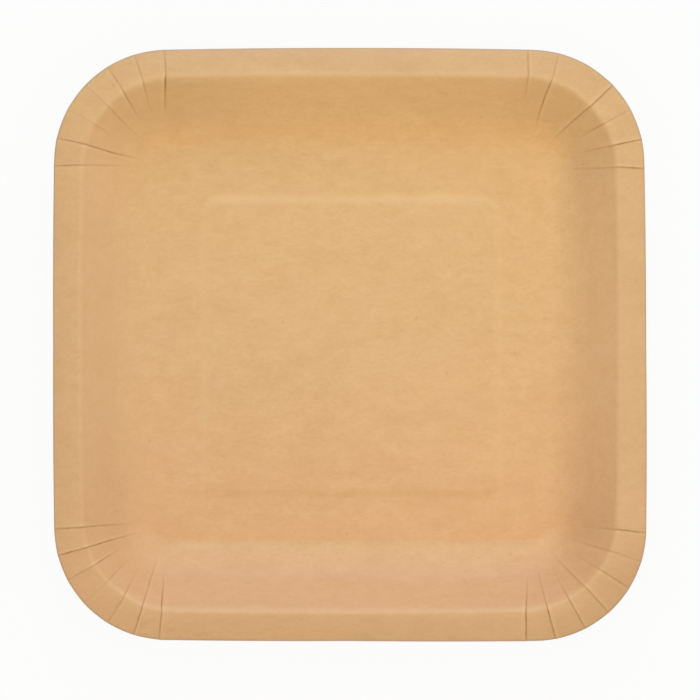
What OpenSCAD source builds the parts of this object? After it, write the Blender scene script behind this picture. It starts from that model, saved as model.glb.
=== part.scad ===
// Square party plate, stamped in one stroke from a flat sheet of brown kraft board.
// The origin is the middle of the underside. The sides run along X and Y, and +Z is up.
// Sizes are in millimetres, angles in degrees.

/* [Outline] */
// Width of the plate, from side to side
plate_w = 230; // [170:1:300]
// Height of the plate, from the table to the top of the crest
plate_h = 18.8; // [14:0.1:20]
// Thickness of the board
board_t = 0.45; // [0.35:0.05:0.6]

/* [Wall and rim] */
// Radius of the floor's corners, at the foot of the wall
floor_r = 5.2; // [3:0.2:20]
// Slope of the wall
wall_slope = 46; // [42:1:60]
// Radius of the bend from the floor up into the wall
foot_r = 24; // [10:0.5:28]
// Radius of the bend over the crest, from the wall down into the rim
crest_r = 3.1; // [1.5:0.1:4]
// Width of the rim, from the bend over the crest to the cut edge
rim_w = 9; // [6:0.5:12]
// Downward slope of the rim beside the crest
rim_slope = 10; // [4:1:12]
// Downward slope of the rim at its cut edge
edge_slope = 28; // [20:1:34]

/* [Centre panel] */
// Width of the flat ring that the plate stands on, from the panel to the foot of the wall
stand_w = 16; // [8:0.5:24]
// Radius of the panel's corners, where its bevel meets the floor
panel_r = 9; // [7:0.5:16]
// Height of the panel above the floor
panel_h = 1; // [0.5:0.1:1.4]
// Steepest slope of the panel's bevel
bevel_slope = 18; // [15:1:24]
// Radius of the bends at the top and the bottom of the bevel
bevel_r = 7; // [3:0.5:8]

/* [Corner pleats] */
// Width of a crease on the upper face, at the cut edge
crease_w = 0.4; // [0.25:0.05:0.8]
// Depth of a crease in the upper face
crease_d = 0.22; // [0.1:0.01:0.25]
// Width of the tuck of spare board under a crease, at the cut edge
tuck_w = 1.5; // [1:0.1:2.5]
// Depth of a tuck below the board's lower face
tuck_d = 0.3; // [0.15:0.05:0.5]
// Length over which a crease and its tuck fade in from their inner ends
fade_l = 7; // [3:0.5:10]

/* [Hidden] */

// How far each pleat runs in from the cut edge, one row for each corner. The rows and their pleats go
// anticlockwise seen from above, starting at the corner between +X and +Y. A score that never folded has 0.
PLEAT_REACH = [
    [33, 27, 21, 32, 0, 31, 19],
    [25, 25, 20, 30, 17, 33, 28],
    [30, 32, 24, 25, 24, 32, 26],
    [24, 30, 22, 31, 22, 26, 23]
];
// How far each pleat strayed from its score when the sheet was stamped, in degrees about the corner
PLEAT_STRAY = [
    [-4, -3, -2, 0, 0, 3, 3],
    [2, 2, 2, 2, 2, 4, 2],
    [0, -1, -3, -3, -3, -3, -5],
    [-4, -5, -3, -4, -2, -2, -2]
];
pleat_pitch = 90 / (len(PLEAT_REACH[0]) - 1);

// The pressed section, measured outwards from a corner's centre along the middle of the board
crest_w = crest_r * (sin(wall_slope) + sin(rim_slope));
foot_w = foot_r * sin(wall_slope);
wall_h = plate_h - board_t - (foot_r + crest_r) * (1 - cos(wall_slope));
wall_w = wall_h / tan(wall_slope);
rim_r = rim_w / (sin(edge_slope) - sin(rim_slope));
edge_x = floor_r + foot_w + wall_w + crest_w + rim_w;
corner_r = edge_x + board_t / 2 * sin(edge_slope);

// The bevel of the centre panel, which turns down and back again
panel_w = plate_w - 2 * (corner_r - floor_r + stand_w);
bend_h = bevel_r * (1 - cos(bevel_slope));
bevel_h = panel_h - 2 * bend_h;
bevel_w = 2 * bevel_r * sin(bevel_slope) + bevel_h / tan(bevel_slope);

// Cutters run past the faces that they cut by this much, the panel's sheet runs on into the floor's by this
// much, a crease starts this far above the upper face, and a tuck stops this far short of the cut edge
past = 0.5;
panel_lap = 0.5;
lift = 0.05;
tuck_inset = 0.3;
// Steps in which each bend is drawn
foot_steps = 7;
crest_steps = 3;
rim_steps = 2;
bevel_steps = 2;

// A path is a list of [x, z, tilt] points, and a move along it is [length, first tilt, last tilt, steps]
function bend(r, from, to, steps) = [r * abs(to - from) * PI / 180, from, to, steps];
function line(length, tilt) = [length, tilt, tilt, 1];
function step(p, m, f) =
    let (a = m[1] + (m[2] - m[1]) * f)
    m[1] == m[2]
        ? [p[0] + m[0] * f * cos(a), p[1] + m[0] * f * sin(a), a]
        : let (r = m[0] / ((m[2] - m[1]) * PI / 180))
          [p[0] + r * (sin(a) - sin(m[1])), p[1] + r * (cos(m[1]) - cos(a)), a];
function trace(p, moves, i = 0) =
    i == len(moves)
        ? [p]
        : concat(
            [for (k = [0 : moves[i][3] - 1]) step(p, moves[i], k / moves[i][3])],
            trace(step(p, moves[i], 1), moves, i + 1)
        );

// The part of a path that lies outside x, and the strip between two lists of offsets from a path
function outside(path, x) =
    let (k = min([for (i = [1 : len(path) - 1]) if (path[i][0] > x) i]))
    let (f = (x - path[k - 1][0]) / (path[k][0] - path[k - 1][0]))
    concat([path[k - 1] + (path[k] - path[k - 1]) * f], [for (i = [k : len(path) - 1]) path[i]]);
function shifted(p, d) = [p[0] - d * sin(p[2]), p[1] + d * cos(p[2])];
function level(path, d) = [for (p = path) d];
function faded(path, from, to) =
    [for (p = path) from + (to - from) * min(1, (p[0] - path[0][0]) / fade_l)];
function strip(path, low, high) =
    let (last = len(path) - 1)
    concat(
        [for (i = [0 : last]) shifted(path[i], low[i])],
        [for (i = [last : -1 : 0]) shifted(path[i], high[i])]
    );

plate_path = trace([0, board_t / 2, 0], [
    line(floor_r, 0),
    bend(foot_r, 0, wall_slope, foot_steps),
    line(wall_h / sin(wall_slope), wall_slope),
    bend(crest_r, wall_slope, -rim_slope, crest_steps),
    bend(rim_r, -rim_slope, -edge_slope, rim_steps)
]);
panel_path = trace([0, panel_h + board_t / 2, 0], [
    line(panel_r - bevel_w, 0),
    bend(bevel_r, 0, -bevel_slope, bevel_steps),
    line(bevel_h / sin(bevel_slope), -bevel_slope),
    bend(bevel_r, -bevel_slope, 0, bevel_steps),
    line(panel_lap, 0)
]);

// A square of sheet with rounded corners. Its section outside the corner centres is the 2D child, which
// is turned about each corner centre and drawn out along each side, and floor_z is the height inside them.
module pressed_square(width, radius, floor_z) {
    reach = width / 2 - radius;
    translate([-reach, -reach, floor_z])
        cube([2 * reach, 2 * reach, board_t]);
    for (turn = [0 : 90 : 270])
        rotate([0, 0, turn]) {
            translate([reach, reach, 0])
                rotate_extrude(angle = 90, $fn = 120)
                    children();
            translate([reach, reach, 0])
                rotate([90, 0, 0])
                    linear_extrude(2 * reach)
                        children();
        }
}

// A wedge of the corner, turned from a strip along the path outside the inner end of a pleat
module pleat_wedge(width, angle) {
    spread = width / corner_r * 180 / PI;
    rotate([0, 0, angle - spread / 2])
        rotate_extrude(angle = spread, $fn = 120)
            children();
}

// The spare board that a corner gathers, folded under and pressed flat below each crease
module tuck(reach, angle) {
    path = outside(plate_path, corner_r - reach);
    low = faded(path, 0, -board_t / 2 - tuck_d);
    pleat_wedge(tuck_w, angle)
        intersection() {
            polygon(strip(path, low, level(path, board_t / 4)));
            square([edge_x - tuck_inset, plate_h]);
        }
}

// The slot that shows on the upper face where the board dives into its tuck. It runs out past the cut edge.
module crease(reach, angle) {
    edge = plate_path[len(plate_path) - 1];
    path = outside(concat(plate_path, [step(edge, line(past, -edge_slope), 1)]), corner_r - reach);
    low = faded(path, board_t / 2 + lift, board_t / 2 - crease_d);
    pleat_wedge(crease_w, angle)
        polygon(strip(path, low, level(path, board_t / 2 + past)));
}

// Puts its child at every pleat of every corner. Inside it, $reach and $angle are that pleat's own.
module each_pleat() {
    reach = plate_w / 2 - corner_r;
    for (corner = [0 : 3], i = [0 : len(PLEAT_REACH[corner]) - 1])
        if (PLEAT_REACH[corner][i] > 0)
            rotate([0, 0, 90 * corner])
                translate([reach, reach, 0]) {
                    $reach = PLEAT_REACH[corner][i];
                    $angle = pleat_pitch * i + PLEAT_STRAY[corner][i];
                    children();
                }
}

// The opening in the floor that the centre panel fills
module panel_outline() {
    reach = panel_w / 2 - panel_r;
    square([panel_w, 2 * reach], center = true);
    square([2 * reach, panel_w], center = true);
    for (x = [-reach, reach], y = [-reach, reach])
        translate([x, y])
            circle(panel_r, $fn = 120);
}

module floor_and_wall() {
    difference() {
        pressed_square(plate_w, corner_r, 0)
            polygon(strip(plate_path, level(plate_path, -board_t / 2), level(plate_path, board_t / 2)));
        translate([0, 0, -past])
            linear_extrude(board_t + 2 * past)
                panel_outline();
    }
}

module centre_panel() {
    pressed_square(panel_w + 2 * panel_lap, panel_r + panel_lap, panel_h)
        polygon(strip(panel_path, level(panel_path, -board_t / 2), level(panel_path, board_t / 2)));
}

module plate() {
    color("burlywood")
        difference() {
            union() {
                floor_and_wall();
                centre_panel();
                each_pleat()
                    tuck($reach, $angle);
            }
            each_pleat()
                crease($reach, $angle);
        }
}

plate();
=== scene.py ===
import math

import bpy
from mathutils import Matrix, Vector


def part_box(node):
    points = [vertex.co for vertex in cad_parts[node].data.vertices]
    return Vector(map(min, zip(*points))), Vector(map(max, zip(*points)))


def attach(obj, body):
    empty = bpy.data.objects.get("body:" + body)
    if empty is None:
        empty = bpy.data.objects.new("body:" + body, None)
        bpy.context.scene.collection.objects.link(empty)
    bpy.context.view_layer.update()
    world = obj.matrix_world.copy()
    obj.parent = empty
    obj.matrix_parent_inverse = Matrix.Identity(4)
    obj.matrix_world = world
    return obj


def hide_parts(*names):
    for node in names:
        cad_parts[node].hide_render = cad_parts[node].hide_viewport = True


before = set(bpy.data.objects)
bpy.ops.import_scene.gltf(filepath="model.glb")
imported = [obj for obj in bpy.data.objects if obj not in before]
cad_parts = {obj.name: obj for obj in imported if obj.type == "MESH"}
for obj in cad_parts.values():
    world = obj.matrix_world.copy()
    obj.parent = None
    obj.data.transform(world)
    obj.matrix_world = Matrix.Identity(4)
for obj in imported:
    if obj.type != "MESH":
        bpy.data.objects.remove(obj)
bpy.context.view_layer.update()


# The plate's section. The board runs level from the middle of the raised panel, down the panel's bevel,
# along the floor that the plate stands on, up the wall in one wide bend, over the crest, and down the rim
# to the cut edge. The dies press it in one stroke, so every side and corner has this same section.
MM = 0.001
plate_low, plate_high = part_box("plate")
plate_width = plate_high.x - plate_low.x
plate_height = plate_high.z - plate_low.z
board = 0.45 * MM

floor_radius = 5.2 * MM
wall_tilt = math.radians(46)
foot_bend = 24 * MM
crest_bend = 2.6 * MM
rim_width = 9.4 * MM
rim_tilt = math.radians(-10)
edge_tilt = math.radians(-28)
side_bow = 0.7 * MM

panel_corner = 9 * MM
panel_rise = 1 * MM
stand_width = 16 * MM
PANEL_SHIFT = (0.9 * MM, -0.7 * MM)
bevel_tilt = math.radians(-18)
bevel_bend = 7 * MM

# How many straight pieces draw each stretch of the section
PANEL_STEPS = 4
BEVEL_STEPS = 5
STAND_STEPS = 4
FOOT_STEPS = 18
WALL_STEPS = 8
CREST_STEPS = 10
RIM_STEPS = 11


def walk(start, moves):
    """Points (reach, height, tilt) along straight runs and bends.

    A move is (length, first tilt, last tilt, steps).
    """
    points = [start]
    for length, first, last, steps in moves:
        half_turn = (last - first) / steps / 2
        chord = length / steps * (math.sin(half_turn) / half_turn if half_turn else 1)
        for step in range(steps):
            reach, height, _ = points[-1]
            heading = first + half_turn * (2 * step + 1)
            reach += chord * math.cos(heading)
            height += chord * math.sin(heading)
            points.append((reach, height, heading + half_turn))
    return points


wall_rise = plate_height - board - (foot_bend + crest_bend) * (1 - math.cos(wall_tilt))
rim_bend = rim_width / (math.sin(rim_tilt) - math.sin(edge_tilt))
wall_path = walk(
    (floor_radius, board / 2, 0),
    [
        (foot_bend * wall_tilt, 0, wall_tilt, FOOT_STEPS),
        (wall_rise / math.sin(wall_tilt), wall_tilt, wall_tilt, WALL_STEPS),
        (crest_bend * (wall_tilt - rim_tilt), wall_tilt, rim_tilt, CREST_STEPS),
        (rim_bend * (rim_tilt - edge_tilt), rim_tilt, edge_tilt, RIM_STEPS),
    ],
)
edge_radius = wall_path[-1][0] - board / 2 * math.sin(edge_tilt)

bevel_drop = panel_rise - 2 * bevel_bend * (1 - math.cos(bevel_tilt))
bevel_moves = [
    (-bevel_bend * bevel_tilt, 0, bevel_tilt, BEVEL_STEPS),
    (-bevel_drop / math.sin(bevel_tilt), bevel_tilt, bevel_tilt, 1),
    (-bevel_bend * bevel_tilt, bevel_tilt, 0, BEVEL_STEPS),
]
bevel_width = walk((0, 0, 0), bevel_moves)[-1][0]
bevel_path = walk((panel_corner - bevel_width, panel_rise + board / 2, 0), bevel_moves)

# A ring of the sheet is (corner, reach, height, tilt, bow, painted light). Its corners have their centres
# at corner from the middle and the radius reach, and its sides bow out by that share of the plate's own
# bow.
# Painted light is 1 on the panel's bevel, which gets a painted highlight, and -1 on the rim, which gets
# painted shade.
mid_wall_reach = floor_radius + foot_bend * math.sin(wall_tilt) + wall_rise / math.tan(wall_tilt) / 2
outer_corner = plate_width / 2 - side_bow - edge_radius
inner_corner = plate_width / 2 - edge_radius + floor_radius - stand_width - panel_corner
rings = []
for step in range(PANEL_STEPS):
    share = step / PANEL_STEPS
    rings.append((inner_corner * share, bevel_path[0][0] * share, bevel_path[0][1], 0, 0, 0))
for reach, height, tilt in bevel_path:
    rings.append((inner_corner, reach, height, tilt, 0, tilt / bevel_tilt))
for step in range(1, STAND_STEPS):
    share = step / STAND_STEPS
    corner = inner_corner + (outer_corner - inner_corner) * share
    rings.append((corner, panel_corner + (floor_radius - panel_corner) * share, board / 2, 0, share, 0))
for reach, height, tilt in wall_path:
    # The rim's painted shade fades in over the crest, from the wall's full tilt to the rim's tilt
    rim_shade_share = min(1, (wall_tilt - tilt) / (wall_tilt - rim_tilt)) if reach > mid_wall_reach else 0
    rings.append((outer_corner, reach, height, tilt, 1, -rim_shade_share))

# The section as one closed line: out along the upper face, round the cut edge and back along the lower
# face, which needs only every second ring. Face is 1 on the upper face and -1 on the lower one. The cut
# edge is rounded by three points, each (face, how far it swells out).
EDGE_ROUND = ((0.75, 0.05 * MM), (0, 0.06 * MM), (-0.75, 0.05 * MM))
section_rows = []
for ring, face, swell in (
    [(ring, 1, 0) for ring in rings]
    + [(rings[-1], face, swell) for face, swell in EDGE_ROUND]
    + [(ring, -1, 0) for ring in rings[::-2]]
):
    corner, reach, height, tilt, bow, pressed = ring
    reach += swell * math.cos(tilt) - face * board / 2 * math.sin(tilt) * (reach > 0)
    height += swell * math.sin(tilt) + face * board / 2 * math.cos(tilt)
    section_rows.append((corner, reach, height, tilt, bow, pressed, face))


def table_mesh(name, columns, rows):
    """A mesh of loose points, one for each row, that holds the rows' values as attributes."""
    mesh = bpy.data.meshes.new(name)
    mesh.from_pydata([(0, 0, 0)] * len(rows), [], [])
    for column, values in zip(columns, zip(*rows)):
        mesh.attributes.new(column, "FLOAT", "POINT").data.foreach_set("value", values)
    return mesh


SECTION_COLUMNS = ("corner", "reach", "height", "tilt", "bow", "pressed", "face")
section = table_mesh("section", SECTION_COLUMNS, section_rows)


# The pleats. The blank carries seven scores in each corner, and the stamping gathers its spare board at
# them. Each pleat is a thin crease above and a flat tuck below. It runs straight in over the rim, leans a
# little to one side down the wall and fades out there.

# A pleat is (angle on the rim, angle at its inner end, run in from the edge, share of the full depth on
# the rim, share on the wall, side that laps over, how much further out the crest ends at the next pleat
# than it starts at this one), in degrees and millimetres. The corners go anticlockwise from the photo's
# top right, and so do their pleats. One score of the first corner never folded.
PLEATS = (
    (
        (-2.5, -6.1, 33, 0.75, 0.27, 1, 0.5),
        (12.2, 12.6, 27, 0.83, 0.35, 1, 0.6),
        (28.5, 28.5, 23, 0.35, 0.5, -1, 0.6),
        (43.5, 46.9, 32, 0.78, 0.62, 1, 0.4),
        (60, 60, 1, 0, 0, 1, 0),
        (75.7, 81.5, 31, 0.36, 0.65, -1, 0.6),
        (91.5, 94.6, 20, 0.5, 0.7, -1, 0),
    ),
    (
        (1.7, 4.8, 25, 0.52, 1.1, 1, 0.1),
        (17, 19.7, 25, 0.38, 0.38, 1, 0.5),
        (31.8, 33.6, 23, 0.4, 0.75, 1, 0.2),
        (46.5, 48.6, 30, 0.2, 0.34, -1, 0.6),
        (61.8, 62.5, 19, 0.14, 0.42, -1, -1),
        (77.1, 80, 33, 0.73, 0.7, 1, 0.6),
        (91.2, 91, 28, 0.63, 0.5, 1, 0),
    ),
    (
        (1.4, -0.8, 30, 0.7, 0.55, -1, 0.5),
        (15, 14.5, 32, 0.75, 0.73, -1, 1),
        (28.2, 25.5, 25, 0.36, 0.62, -1, 0.2),
        (42.5, 39.9, 26, 0.15, 0.32, 1, -0.5),
        (58.1, 54.9, 24, 0.36, 0.35, 1, 0.4),
        (72.3, 69.8, 32, 0.65, 0.45, 1, -0.2),
        (85.4, 83.4, 26, 0.62, 0.76, 1, 0),
    ),
    (
        (-3.1, -2.5, 25, 0.92, 0.72, -1, -0.7),
        (11.5, 9.5, 28, 0.8, 0.38, 1, -0.1),
        (27.5, 26.8, 22, 0.62, 0.42, 1, 0.5),
        (41.7, 37.9, 31, 0.52, 0.45, 1, -0.5),
        (57.8, 55.8, 23, 0.58, 0.26, -1, 0.3),
        (72.4, 70, 29, 0.3, 0.36, -1, 0.1),
        (87.2, 88, 24, 0.75, 0.36, -1, 0),
    ),
)
# A corner is (how far its edge spread out past its first side when the press let it go, how far past
# its second, how far in its crest stayed, how much painted shade darkens its pleated board on the rim, on
# the wall, and more on the wall towards its first side and its second), in millimetres and shares of the
# light.
CORNERS = (
    (0, 0, 1.2, 0, 0.08, 0, 0),
    (0, 0.6, 0.9, -0.01, 0.04, 0.03, -0.06),
    (0.5, 0.5, 1.1, -0.02, 0, 0.06, 0),
    (1.2, 1.2, 1.1, 0.08, 0.05, 0, 0.07),
)
pleat_rows = [
    (math.radians(rim_angle), math.radians(inner_angle), run * MM, rim_depth, wall_depth, lap, step * MM)
    + (first * MM, second * MM, inset * MM, *dulls)
    for pleats, (first, second, inset, *dulls) in zip(PLEATS, CORNERS)
    for rim_angle, inner_angle, run, rim_depth, wall_depth, lap, step in pleats
]
PLEAT_COLUMNS = (
    "rim_angle",
    "inner_angle",
    "run",
    "rim_depth",
    "wall_depth",
    "lap",
    "step",
    "first_spread",
    "second_spread",
    "inset",
    "rim_dull",
    "wall_dull",
    "first_dull",
    "second_dull",
)
pleat_points = bpy.data.objects.new("pleat_points", table_mesh("pleats", PLEAT_COLUMNS, pleat_rows))


class Wire:
    """A socket of a node tree. An expression on wires adds its Math nodes."""

    def __init__(self, tree, socket=None):
        self.tree = tree
        self.socket = socket

    def node(self, kind, settings=None, sockets=None, out=0):
        """Adds a node, with its settings first and then the values or wires of its sockets.

        Returns the wire of one output.
        """
        node = self.tree.nodes.new(kind)
        for name, value in (settings or {}).items():
            setattr(node, name, value)
        for name, value in (sockets or {}).items():
            if isinstance(value, Wire):
                self.tree.links.new(value.socket, node.inputs[name])
            else:
                node.inputs[name].default_value = value
        return Wire(self.tree, node.outputs[out] if node.outputs else None)

    def other(self, name):
        """Another output of this wire's node."""
        return Wire(self.tree, self.socket.node.outputs[name])

    def math(self, operation, *values):
        return self.node("ShaderNodeMath", {"operation": operation}, dict(enumerate((self, *values))))

    def clamp(self, low=0, high=1):
        return self.node("ShaderNodeClamp", {}, {"Value": self, "Min": low, "Max": high})

    def axes(self):
        x = self.node("ShaderNodeSeparateXYZ", {}, {"Vector": self}, "X")
        return x, x.other("Y"), x.other("Z")

    def __add__(self, other):
        return self.math("ADD", other)

    def __radd__(self, other):
        return self.math("ADD", other)

    def __sub__(self, other):
        return self.math("SUBTRACT", other)

    def __rsub__(self, other):
        return self.node("ShaderNodeMath", {"operation": "SUBTRACT"}, {0: other, 1: self})

    def __mul__(self, other):
        return self.math("MULTIPLY", other)

    def __rmul__(self, other):
        return self.math("MULTIPLY", other)

    def __truediv__(self, other):
        return self.math("DIVIDE", other)

    def __rtruediv__(self, other):
        return self.node("ShaderNodeMath", {"operation": "DIVIDE"}, {0: other, 1: self})

    def __pow__(self, power):
        return self.math("POWER", power)

    def __gt__(self, other):
        return self.math("GREATER_THAN", other)

    def __abs__(self):
        return self.math("ABSOLUTE")

    def __neg__(self):
        return self.math("MULTIPLY", -1)


# The stamped sheet as a rule. The tree lays a grid, with a column for each place round the outline and a
# row for each ring of the section, and moves its points to where the section and the pleats put them.
# Columns bunch up at the pleats, and each pleat's own column follows it down the wall.
RIGHT_ANGLE = math.pi / 2
SHEET_INPUTS = {
    "Section": ("NodeSocketGeometry", None),
    "Pleats": ("NodeSocketObject", pleat_points),
    "Pleats per Corner": ("NodeSocketInt", len(PLEATS[0])),
    "Columns per Pleat": ("NodeSocketInt", 30),
    "Columns per Half Side": ("NodeSocketInt", 14),
    "Pleat Bunching": ("NodeSocketFloat", 0.93),
    "Side Bunching": ("NodeSocketFloat", 3.0),
    "Edge Radius": ("NodeSocketFloat", edge_radius),
    "Rim Width": ("NodeSocketFloat", rim_width),
    "Half Width": ("NodeSocketFloat", plate_width / 2),
    "Plate Height": ("NodeSocketFloat", plate_height),
    "Board Thickness": ("NodeSocketFloat", board),
    "Bow": ("NodeSocketFloat", side_bow),
    "Panel Shift": ("NodeSocketVector", (*PANEL_SHIFT, 0)),
    "Bottom Crest Inset": ("NodeSocketFloat", 0.8 * MM),
    "Crease Width": ("NodeSocketFloat", 0.5 * MM),
    "Crease Depth": ("NodeSocketFloat", 0.22 * MM),
    "Crease Fade": ("NodeSocketFloat", 12 * MM),
    "Crease Wander": ("NodeSocketFloat", 0.4 * MM),
    "Wander Length": ("NodeSocketFloat", 7 * MM),
    "Depth Change": ("NodeSocketFloat", 0.3 * rim_width),
    "Swell Width": ("NodeSocketFloat", 0.9 * MM),
    "Swell Height": ("NodeSocketFloat", 0.06 * MM),
    "Lap Width": ("NodeSocketFloat", 2.5 * MM),
    "Lap Height": ("NodeSocketFloat", 0.1 * MM),
    "Tuck Width": ("NodeSocketFloat", 1.5 * MM),
    "Tuck Flank": ("NodeSocketFloat", 0.375 * MM),
    "Tuck Depth": ("NodeSocketFloat", 0.3 * MM),
    "Flattening": ("NodeSocketFloat", 0.55),
    "Rim Stiffness": ("NodeSocketFloat", 0.75),
    "Billow": ("NodeSocketFloat", 0.1 * MM),
    "Unevenness": ("NodeSocketFloat", 0.4 * MM),
    "Uneven Length": ("NodeSocketFloat", 45 * MM),
    "Crest Place": ("NodeSocketFloat", 1.5 * MM),
    "Crest Spread": ("NodeSocketFloat", 1.8 * MM),
    "Shade Width": ("NodeSocketFloat", 0.3 * MM),
    "Shade Change": ("NodeSocketFloat", 1.2),
    "Shade Length": ("NodeSocketFloat", 3 * MM),
    "Edge Shade": ("NodeSocketFloat", 0.45),
    "Edge Shade Run": ("NodeSocketFloat", 0.35 * rim_width),
    # Sizes for the painted highlight beside the creases, the painted shade at the cut edge and the painted
    # shade of the rims and corner walls
    "Rub Place": ("NodeSocketFloat", 0.9 * MM),
    "Rub Width": ("NodeSocketFloat", 0.6 * MM),
    "Rub off Crest": ("NodeSocketFloat", 0.5),
    "Edge Wear Width": ("NodeSocketFloat", 0.6 * MM),
    "Top Rim Dulling": ("NodeSocketFloat", 0.04),
    "Rim Dulling Run": ("NodeSocketFloat", 1.3 * rim_width),
    "Wall Dulling Start": ("NodeSocketFloat", 0.2),
    "Seed": ("NodeSocketInt", 4),
    "Finish": ("NodeSocketMaterial", None),
}
sheet_tree = bpy.data.node_groups.new("stamped_sheet", "GeometryNodeTree")
for name, (socket_type, _) in SHEET_INPUTS.items():
    sheet_tree.interface.new_socket(name=name, in_out="INPUT", socket_type=socket_type)
sheet_tree.interface.new_socket(name="Sheet", in_out="OUTPUT", socket_type="NodeSocketGeometry")
given = Wire(sheet_tree).node("NodeGroupInput")

line = given.other("Section")
pleats = given.node(
    "GeometryNodeObjectInfo",
    {"transform_space": "ORIGINAL"},
    {"Object": given.other("Pleats")},
    "Geometry",
)
rim = given.other("Rim Width")
crease_width = given.other("Crease Width")


def read(table, name, row):
    """The value called name in one row of a table mesh."""
    column = table.node("GeometryNodeInputNamedAttribute", {"data_type": "FLOAT"}, {"Name": name})
    return table.node(
        "GeometryNodeSampleIndex",
        {"data_type": "FLOAT"},
        {"Geometry": table, "Value": column, "Index": row},
    )


def bell(value, width):
    """1 where the value is 0, falling off to both sides over about this width."""
    return (-((value / width) ** 2)).math("EXPONENT")


ring_count = given.node("GeometryNodeAttributeDomainSize", {"component": "MESH"}, {"Geometry": line})
gaps = given.other("Pleats per Corner") - 1
half_side = given.other("Columns per Half Side")
pleat_columns = given.other("Columns per Pleat")
quarter_columns = 2 * half_side + gaps * pleat_columns
columns = 4 * quarter_columns
grid = given.node(
    "GeometryNodeMeshGrid",
    {},
    {"Size X": columns, "Size Y": ring_count - 1, "Vertices X": columns + 1, "Vertices Y": ring_count},
)
grid_x, grid_y, _ = given.node("GeometryNodeInputPosition").axes()
column = (grid_x + columns / 2).math("ROUND")
ring = (grid_y + (ring_count - 1) / 2).math("ROUND")

corner = read(line, "corner", ring)
reach = read(line, "reach", ring)
height = read(line, "height", ring)
tilt = read(line, "tilt", ring)
bow = read(line, "bow", ring)
pressed = read(line, "pressed", ring)
face = read(line, "face", ring)
from_edge = given.other("Edge Radius") - reach
on_rim = (1 - from_edge / rim).clamp()
lift = ((height - given.other("Board Thickness")) / given.other("Plate Height")).clamp()

# Where a column lies: its quarter of the plate, its place among the pleats and its place along the sides
quarter = (column / quarter_columns).math("FLOOR")
along = column - quarter * quarter_columns
place = ((along - half_side) / pleat_columns).clamp(0, gaps)
side_bunching = given.other("Side Bunching")
side_before = ((half_side - along) / half_side).clamp() ** side_bunching
side_after = ((along - half_side - gaps * pleat_columns) / half_side).clamp() ** side_bunching
on_side = side_before + side_after
left = place.math("FLOOR").math("MINIMUM", gaps - 1)
share = place - left
share = share - given.other("Pleat Bunching") * (share * math.tau).math("SINE") / math.tau
first_row = quarter * given.other("Pleats per Corner")
left_row = first_row + left

# Each pleat takes its own stretch of the noise, this far from the next one's
NOISE_APART = 7.3


def along_pleat(row, length):
    """A chance value from -0.5 to 0.5 that changes over this length along a pleat."""
    spot = given.node("ShaderNodeCombineXYZ", {}, {"X": from_edge / length, "Y": row * NOISE_APART})
    return given.node("ShaderNodeTexNoise", {}, {"Vector": spot, "Scale": 1.0, "Detail": 1.0}) - 0.5


def pleat_angle(row):
    """A pleat's angle about its corner at the ring in hand. It leans over from the crest inwards."""
    rim_angle = read(pleats, "rim_angle", row)
    lean = ((from_edge - rim) / (read(pleats, "run", row) - rim).math("MAXIMUM", rim)).clamp()
    wander = along_pleat(row, given.other("Wander Length"))
    wander = wander * given.other("Crease Wander") / given.other("Edge Radius")
    return rim_angle + (read(pleats, "inner_angle", row) - rim_angle) * lean + wander


left_angle = pleat_angle(left_row)
angle = left_angle + (pleat_angle(left_row + 1) - left_angle) * share
home = place / gaps * RIGHT_ANGLE
angle = home + (angle - home) * (1 - on_side)
path = angle * reach + corner * (side_after - side_before)
turned = (path / reach).clamp(0, RIGHT_ANGLE)
sideways = path - turned * reach
side_share = 1 - abs(sideways) / corner
in_corner = (turned * 2).math("SINE").clamp()
toward_right = (turned + quarter * RIGHT_ANGLE).math("COSINE")
toward_top = (turned + quarter * RIGHT_ANGLE).math("SINE")

# How far a point moves off the plain section: the crease and its laps above, and the tuck below
nearest = (left + share).math("ROUND")
pleat = first_row + nearest
across = (left + share - nearest) / gaps * RIGHT_ANGLE * reach + corner * (side_after - side_before)
rim_depth = read(pleats, "rim_depth", pleat)
down_wall = ((from_edge - rim) / given.other("Depth Change")).clamp()
fold = rim_depth + (read(pleats, "wall_depth", pleat) - rim_depth) * down_wall
fold = fold * ((read(pleats, "run", pleat) - from_edge) / given.other("Crease Fade")).clamp()
notch = (1 - abs(across) / (crease_width / 2)).clamp()
swell = bell(across, given.other("Swell Width"))
lap = across / (abs(across) + crease_width / 2)
lap = lap * (-abs(across) / given.other("Lap Width")).math("EXPONENT") * read(pleats, "lap", pleat)
upper = given.other("Swell Height") * swell + given.other("Lap Height") * lap
upper = upper - given.other("Crease Depth") * notch
tuck = ((given.other("Tuck Width") / 2 - abs(across)) / given.other("Tuck Flank")).clamp()
lower = -given.other("Tuck Depth") * tuck
offset = fold * (upper * face.clamp() + lower * (-face).clamp())

# Between two pleats the wall billows and lies flatter than its arc, and the rim flattens less. The arch
# is 0 at the pleats and 1 midway between them.
arch = 4 * share * (1 - share) * (1 - on_side)
LOWEST_SOCKET, HIGHEST_SOCKET = 2, 3
chance = given.node(
    "FunctionNodeRandomValue",
    {"data_type": "FLOAT"},
    {LOWEST_SOCKET: -1.0, HIGHEST_SOCKET: 1.0, "ID": left_row, "Seed": given.other("Seed")},
    1,
)
offset = offset + given.other("Billow") * chance * arch * lift * bow
chord_sag = 1 - (RIGHT_ANGLE / gaps / 2).math("COSINE")
flat_sag = given.other("Flattening") * chord_sag * (1 - given.other("Rim Stiffness") * on_rim)

# The crest stays in at the corners and along the bottom side, and steps out or in at a pleat
inset = read(pleats, "inset", first_row) * in_corner
inset = inset + given.other("Bottom Crest Inset") * (-toward_top).clamp()
off_crease = 1 - bell(across, crease_width)
inset = inset + read(pleats, "step", left_row) * (0.5 - share) * off_crease * (1 - (on_side > 0))

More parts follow.
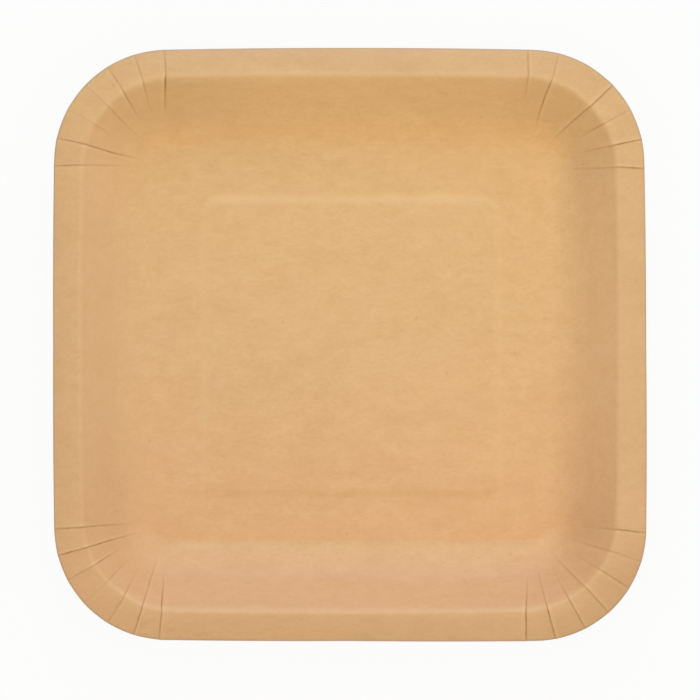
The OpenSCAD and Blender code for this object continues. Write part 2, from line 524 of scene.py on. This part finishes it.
# The place of each point, on its quarter first and then on the whole plate
radius = reach * (1 - flat_sag * arch) - offset * tilt.math("SINE")
radius = radius - inset * lift * (1 - on_rim) * bow
radius = radius + given.other("Bow") * bow * (1 - side_share**2)
x = corner + radius * turned.math("COSINE") - sideways * turned.math("SINE")
y = corner + radius * turned.math("SINE") + sideways * turned.math("COSINE")
spread = on_rim * x * y / given.other("Half Width") ** 2
x = x + spread * read(pleats, "first_spread", first_row)
y = y + spread * read(pleats, "second_spread", first_row)
flat_place = given.node("ShaderNodeCombineXYZ", {}, {"X": x, "Y": y})
flat_place = given.node(
    "ShaderNodeVectorRotate",
    {"rotation_type": "Z_AXIS"},
    {"Vector": flat_place, "Angle": quarter * RIGHT_ANGLE},
)
panel_shift = given.node(
    "ShaderNodeVectorMath", {"operation": "SCALE"}, {0: given.other("Panel Shift"), "Scale": 1 - bow}
)
flat_place = given.node("ShaderNodeVectorMath", {"operation": "ADD"}, {0: flat_place, 1: panel_shift})
wave = given.node(
    "ShaderNodeTexNoise",
    {},
    {"Vector": flat_place, "Scale": 1 / given.other("Uneven Length"), "Detail": 1.0, "Roughness": 0.4},
)
x, y, _ = flat_place.axes()
z = height + offset * tilt.math("COSINE") + (wave - 0.5) * lift * given.other("Unevenness")

# Light and shade painted into the board's colour: painted shade along the creases, painted highlights
# beside them, painted shade at the cut edge, and painted shade on the walls and rims of the corners and
# the top rim
edge_shade = given.other("Edge Shade")
edge_shade = edge_shade + (1 - edge_shade) * (from_edge / given.other("Edge Shade Run")).clamp()
# Painted shade along each crease, varying along it and weaker towards the cut edge
crease_shade = fold * (1 + given.other("Shade Change") * along_pleat(pleat, given.other("Shade Length")))
crease_shade = crease_shade * bell(across, given.other("Shade Width")) * edge_shade
on_crest = bell(from_edge - rim - given.other("Crest Place"), given.other("Crest Spread"))
# Painted highlight beside each crease, on the side that laps over, strongest on the crest
highlight_off_crest = given.other("Rub off Crest")
rubbed = fold * (highlight_off_crest + (1 - highlight_off_crest) * on_crest)
from_highlight = across * read(pleats, "lap", pleat) - given.other("Rub Place")
rubbed = rubbed * bell(from_highlight, given.other("Rub Width"))
# Painted shade along the cut edge
edge_wear = (1 - from_edge / given.other("Edge Wear Width")).clamp()
# Painted shade on the walls and rims of the corners, and on the rim along the top side
turn_share = turned / RIGHT_ANGLE
wall_dull = read(pleats, "wall_dull", first_row) + read(pleats, "second_dull", first_row) * turn_share**2
wall_dull = wall_dull + read(pleats, "first_dull", first_row) * (1 - turn_share) ** 2
wall_dull = wall_dull * down_wall * (lift / given.other("Wall Dulling Start")).clamp() * side_share**2
rim_dull = read(pleats, "rim_dull", first_row) * in_corner.math("SQRT")
rim_dull = rim_dull + given.other("Top Rim Dulling") * toward_top.clamp()
rim_dull = rim_dull * ((given.other("Rim Dulling Run") - from_edge) / rim).clamp()
sheet = grid
for name, value in (
    # Painted shade of the creases and painted highlights beside them
    ("crease", crease_shade),
    ("rubbed", rubbed),
    ("edge_wear", edge_wear),
    ("pressed", pressed),
    ("drawn", tilt.math("SINE").clamp() * bow),
    # Painted shade of the corners and the top rim
    ("gathered", (wall_dull + rim_dull) * bow),
    ("on_crest", on_crest),
    ("toward_right", toward_right),
    ("toward_top", toward_top),
):
    sheet = given.node(
        "GeometryNodeStoreNamedAttribute",
        {"data_type": "FLOAT", "domain": "POINT"},
        {"Geometry": sheet, "Name": name, "Value": value},
    )
sheet = given.node(
    "GeometryNodeSetPosition",
    {},
    {"Geometry": sheet, "Position": given.node("ShaderNodeCombineXYZ", {}, {"X": x, "Y": y, "Z": z})},
)
sheet = given.node("GeometryNodeMergeByDistance", {}, {"Geometry": sheet, "Distance": 0.0001 * MM})
sheet = given.node("GeometryNodeFlipFaces", {}, {"Mesh": sheet})
sheet = given.node("GeometryNodeSetShadeSmooth", {}, {"Geometry": sheet})
sheet = given.node("GeometryNodeRealizeInstances", {}, {"Geometry": sheet})
sheet = given.node("GeometryNodeSetMaterial", {}, {"Geometry": sheet, "Material": given.other("Finish")})
given.node("NodeGroupOutput", {}, {"Sheet": sheet})


# The board: unbleached kraft with a dull, slightly fuzzy face. Its pulp shows as cloudy mottling, as fine
# fibres that lie mostly along the mill's direction, across the plate, and as a few dark specks of bark.
# Painted shade lies in its colour in the creases, on the rim, in the corners and at the cut edge, with
# painted highlights beside the creases, on the crest and on the bevel, and tints for the light on the
# walls and across it.
KRAFT_LIGHT = (0.863, 0.541, 0.268, 1)
KRAFT_DARK = (0.672, 0.377, 0.143, 1)
KRAFT_ROSY = (0.76, 0.435, 0.21, 1)
TOP_LIGHT_TINT = (1.02, 1.03, 0.96, 1)
TOP_WALL_BOUNCE_TINT = (1.01, 0.945, 0.895, 1)
TOP_WALL_LIGHT_TINT = (1.03, 1.075, 1.07, 1)
BOTTOM_LIGHT_TINT = (1, 0.92, 0.94, 1)
BOTTOM_FOOT_SHEEN_TINT = (1.02, 1.15, 1.35, 1)
LEFT_SHADE_TINT = (0.965, 0.97, 0.985, 1)
RIM_SHADE_GREY = (0.6, 0.4, 0.225, 1)
WALL_SHEEN_PALE = (0.77, 0.49, 0.27, 1)
CREASE_SHADE_BROWN = (0.3, 0.11, 0.002, 1)
HIGHLIGHT_PALE = (0.86, 0.59, 0.3, 1)
SPECK_BROWN = (0.42, 0.22, 0.08, 1)
EDGE_SHADE_GREY = (0.42, 0.33, 0.22, 1)

kraft = bpy.data.materials.new("pressed_kraft")
kraft.use_nodes = True
kraft.node_tree.nodes.clear()
paper = Wire(kraft.node_tree).node("ShaderNodeTexCoord", out="Object")


def pulp(length, width, detail, roughness):
    """Noise whose blotches are this long across the plate and this wide."""
    scale = (1 / length, 1 / width, 1 / width)
    stretched = paper.node("ShaderNodeMapping", {}, {"Vector": paper, "Scale": scale})
    return paper.node(
        "ShaderNodeTexNoise",
        {},
        {"Vector": stretched, "Scale": 1.0, "Detail": detail, "Roughness": roughness},
    )


def attribute(name):
    """A value that the stamping tree left on the sheet."""
    return paper.node("ShaderNodeAttribute", {"attribute_name": name}, {}, "Fac")


def ramp(value, start, end):
    """Rises from 0 where the value is start to 1 where it is end, and is level beyond them."""
    return ((value - start) / (end - start)).clamp()


def layered(colour, layers):
    """Lays colours one over another. A layer is (where it shows, its strength, its colour, its blend)."""
    factor_socket, below_socket, above_socket, result_output = 0, 6, 7, 2
    for where, strength, tint, blend in layers:
        colour = paper.node(
            "ShaderNodeMix",
            {"data_type": "RGBA", "blend_type": blend},
            {factor_socket: where * strength, below_socket: colour, above_socket: tint},
            result_output,
        )
    return colour


cloud = pulp(length=24 * MM, width=16 * MM, detail=2, roughness=0.5)
mottle = pulp(length=7 * MM, width=4 * MM, detail=2, roughness=0.6)
grain = pulp(length=2 * MM, width=1.2 * MM, detail=2, roughness=0.6)
fibre = pulp(length=2.4 * MM, width=0.4 * MM, detail=2, roughness=0.5)
blush = pulp(length=30 * MM, width=22 * MM, detail=1, roughness=0.5)
tone = 0.5
for pattern, strength in ((cloud, 0.4), (mottle, 0.6), (grain, 0.55), (fibre, 0.3)):
    tone = tone + (pattern - 0.5) * strength
tone = tone.clamp()

# Specks of bark, one at most in each cell of this size, and most of them too faint to see
SPECK_CELL = 13 * MM
SMALLEST_SPECK = 0.35 * MM
SPECK_SPREAD = 0.4 * MM
speck_distance = paper.node(
    "ShaderNodeTexVoronoi",
    {"voronoi_dimensions": "2D"},
    {"Vector": paper, "Scale": 1 / SPECK_CELL},
    "Distance",
)
speck_chance, _, _ = speck_distance.other("Color").axes()
speck_size = SMALLEST_SPECK + SPECK_SPREAD * speck_chance
speck = (1 - speck_distance * SPECK_CELL / speck_size).clamp() * ramp(speck_chance, 0.4, 1.067) ** 2

# How much stronger the painted highlight on the bevel is towards the top and the left, how much weaker the
# painted shade on the rim is on the left, and how much stronger the painted sheen on the left wall is
TOP_BEVEL_HIGHLIGHT = 0.55
LEFT_BEVEL_HIGHLIGHT = 0.15
LEFT_RIM_SHADE_EASE = 0.52
LEFT_WALL_SHEEN = 1.2

# Places on the plate run from -1 at the left or the bottom to 1 at the right or the top. Topward and
# rightward say in the same way which side of the plate a place on its wall or rim belongs to.
along_mill, across_mill, _ = paper.axes()
place_right = along_mill / (plate_width / 2)
place_up = across_mill / (plate_width / 2)
topward = attribute("toward_top")
rightward = attribute("toward_right")
drawn = attribute("drawn")
bevel_and_rim_light = attribute("pressed")
crest_line = attribute("on_crest")
# Painted highlight on the bevel, stronger towards the top and the left
bevel_highlight = bevel_and_rim_light.clamp() * (1 + TOP_BEVEL_HIGHLIGHT * topward - LEFT_BEVEL_HIGHLIGHT * rightward)
# Painted shade on the rim, weaker on the left
grey_rim_shade = (-bevel_and_rim_light).clamp() * (1 - LEFT_RIM_SHADE_EASE * ramp(place_right, 0, -1))
# Painted sheen on the steep walls, stronger on the left wall
wall_sheen = drawn * (1 + LEFT_WALL_SHEEN * (-rightward).clamp())
# Painted sheen at the foot of the bottom wall
bottom_foot_sheen = (-topward).clamp() * ramp(drawn, 0, 0.143) * ramp(drawn, 0.91, 0)

# The light painted across the plate is golden towards its top and rosier towards its bottom, with painted
# bounce light and light on the top wall, a pale painted sheen at the foot of the bottom wall, and painted
# shade on the left
colour = layered(
    KRAFT_DARK,
    (
        (tone, 1, KRAFT_LIGHT, "MIX"),
        (ramp(blush, 0.45, 0.85), 0.35, KRAFT_ROSY, "MIX"),
        # Painted light, golden towards the top of the plate
        (ramp(place_up, 0, 0.833), 1, TOP_LIGHT_TINT, "MULTIPLY"),
        # Painted bounce light and light on the top wall
        (topward.clamp() * ramp(drawn, 0, 0.2), 1, TOP_WALL_BOUNCE_TINT, "MULTIPLY"),
        (topward.clamp() * drawn, 1.4, TOP_WALL_LIGHT_TINT, "MULTIPLY"),
        # Painted light, rosier towards the bottom of the plate
        (ramp(place_up, 0, -0.769), 1, BOTTOM_LIGHT_TINT, "MULTIPLY"),
        # Painted sheen at the foot of the bottom wall
        (bottom_foot_sheen, 1, BOTTOM_FOOT_SHEEN_TINT, "MULTIPLY"),
        # Painted shade, a little darker on the left
        (ramp(place_right, 0.5, -0.5), 1, LEFT_SHADE_TINT, "MULTIPLY"),
        (speck, 0.5, SPECK_BROWN, "MIX"),
        # Painted highlight on the panel's bevel
        (bevel_highlight, 0.33, HIGHLIGHT_PALE, "MIX"),
        # Painted shade on the rim, greyer and darker
        (grey_rim_shade, 0.27, RIM_SHADE_GREY, "MIX"),
        # Painted highlight on the crest along the top and bottom sides
        (crest_line * ramp(abs(topward), 0.286, 1), 0.2, HIGHLIGHT_PALE, "MIX"),
        # Painted sheen on the steep walls, stronger on the left wall
        (wall_sheen, 0.25, WALL_SHEEN_PALE, "MIX"),
    ),
)
# Painted shade over the whole colour: in the corners, on the rims and on the crest of the left and right
# sides
SIDE_CREST_SHADE = 0.02
brightness = 1 - attribute("gathered") - crest_line * (1 - abs(topward)) * SIDE_CREST_SHADE
colour = paper.node("ShaderNodeVectorMath", {"operation": "SCALE"}, {0: colour, "Scale": brightness})
colour = layered(
    colour,
    (
        # Painted highlights beside the creases
        (attribute("rubbed"), 0.6, HIGHLIGHT_PALE, "MIX"),
        # Painted shade in the creases, brown
        (attribute("crease"), 0.7, CREASE_SHADE_BROWN, "MIX"),
        # Painted shade along the cut edge
        (attribute("edge_wear"), 0.5, EDGE_SHADE_GREY, "MIX"),
    ),
)

# The board's roughness where its tone is darkest, and how much rougher its lightest places are
DARK_ROUGHNESS = 0.47
LIGHT_ROUGHER = 0.08
GRAIN_RELIEF = 0.5
relief = paper.node(
    "ShaderNodeBump",
    {},
    {"Strength": 0.25, "Distance": 0.15 * MM, "Height": grain * GRAIN_RELIEF + fibre},
)
board_face = paper.node(
    "ShaderNodeBsdfPrincipled",
    {},
    {
        "Base Color": colour,
        "Roughness": DARK_ROUGHNESS + LIGHT_ROUGHER * tone,
        "Normal": relief,
        "Sheen Weight": 0.3,
        "Sheen Roughness": 0.5,
    },
)
paper.node("ShaderNodeOutputMaterial", {}, {"Surface": board_face})


# The finished plate: one sheet of board, as the press let it go. The tree turns the section's points into
# the sheet, which then becomes a plain closed mesh.
plate_sheet = bpy.data.objects.new("plate_sheet", section)
bpy.context.scene.collection.objects.link(plate_sheet)
bpy.context.scene.collection.objects.link(pleat_points)
stamping = plate_sheet.modifiers.new("stamping", "NODES")
stamping.node_group = sheet_tree
for item in sheet_tree.interface.items_tree:
    if item.name == "Finish":
        stamping[item.identifier] = kraft
    elif item.in_out == "INPUT" and item.name != "Section":
        stamping[item.identifier] = SHEET_INPUTS[item.name][1]
bpy.context.view_layer.update()
evaluated = plate_sheet.evaluated_get(bpy.context.evaluated_depsgraph_get())
stamped = bpy.data.meshes.new_from_object(evaluated)
plate_sheet.modifiers.remove(stamping)
plate_sheet.data = stamped
stamped.name = "plate_sheet"
stamped.materials.pop(index=0)
bpy.data.objects.remove(pleat_points)
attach(plate_sheet, "root")
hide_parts("plate")


# The studio: a white floor, a large warm lamp overhead, a cool one low beyond the top of the picture, a
# weak one to its right, and even light from all round. The floor looks white to the camera, and keeps a
# little of the plate's soft shadow.
FLOOR_SIZE = 16.0
FLOOR_GLOW = 0.93
bpy.ops.mesh.primitive_plane_add(size=FLOOR_SIZE)
floor = bpy.context.object
floor.name = "floor"
floor_white = bpy.data.materials.new("floor_white")
floor_white.use_nodes = True
floor_white.node_tree.nodes.clear()
bench = Wire(floor_white.node_tree).node("ShaderNodeBsdfDiffuse", {}, {"Color": (0.8, 0.8, 0.8, 1)})
glow = bench.node("ShaderNodeEmission", {}, {"Color": (1, 1, 1, 1), "Strength": 1})
rays = bench.node("ShaderNodeLightPath", out="Is Camera Ray")
seen = (rays + rays.other("Is Glossy Ray") + rays.other("Is Transmission Ray")).clamp()
bench = bench.node("ShaderNodeMixShader", {}, {0: seen * FLOOR_GLOW, 1: bench, 2: glow})
bench.node("ShaderNodeOutputMaterial", {}, {"Surface": bench})
floor.data.materials.append(floor_white)

world = bpy.data.worlds.new("studio")
world.use_nodes = True
world.node_tree.nodes["Background"].inputs["Color"].default_value = (1, 0.99, 0.93, 1)
world.node_tree.nodes["Background"].inputs["Strength"].default_value = 0.64
bpy.context.scene.world = world

# A lamp is (name, angle from overhead, direction on the floor, distance, width, energy, colour)
LAMPS = (
    ("overhead", 0, 0, 2.6, 1.1, 13.75, (1, 0.95, 0.725)),
    ("window_side", 65, 90, 1.2, 0.5, 3.5, (0.52, 0.62, 1)),
    ("right_side", 45, 0, 1.2, 0.5, 1.1, (1, 0.86, 0.53)),
)
for name, lean, turn, distance, lamp_width, energy, tint in LAMPS:
    lamp_data = bpy.data.lights.new(name, "AREA")
    lamp_data.shape = "DISK"
    lamp_data.size = lamp_width
    lamp_data.energy = energy
    lamp_data.color = tint
    lamp = bpy.data.objects.new(name, lamp_data)
    lean, turn = math.radians(lean), math.radians(turn)
    lamp.location = (
        distance * math.sin(lean) * math.cos(turn),
        distance * math.sin(lean) * math.sin(turn),
        distance * math.cos(lean),
    )
    lamp.rotation_euler = lamp.location.to_track_quat("Z", "Y").to_euler()
    bpy.context.scene.collection.objects.link(lamp)

# The camera looks straight down. The plate is this many of the photo's pixels wide, about this centre.
PHOTO_SIZE = 700
PLATE_PIXELS = 594
PLATE_CENTRE = (349.65, 344.45)
metres_per_pixel = plate_width / PLATE_PIXELS
camera_data = bpy.data.cameras.new("camera")
camera_data.lens = 300
camera_data.sensor_width = 36
view_width = PHOTO_SIZE * metres_per_pixel
camera_height = plate_height + view_width * camera_data.lens / camera_data.sensor_width
camera = bpy.data.objects.new("camera", camera_data)
camera.location = (
    (PHOTO_SIZE / 2 - PLATE_CENTRE[0]) * metres_per_pixel,
    (PLATE_CENTRE[1] - PHOTO_SIZE / 2) * metres_per_pixel,
    camera_height,
)
camera_data.clip_end = 2 * camera_height
bpy.context.scene.collection.objects.link(camera)
bpy.context.scene.camera = camera
bpy.context.scene.view_settings.view_transform = "Standard"
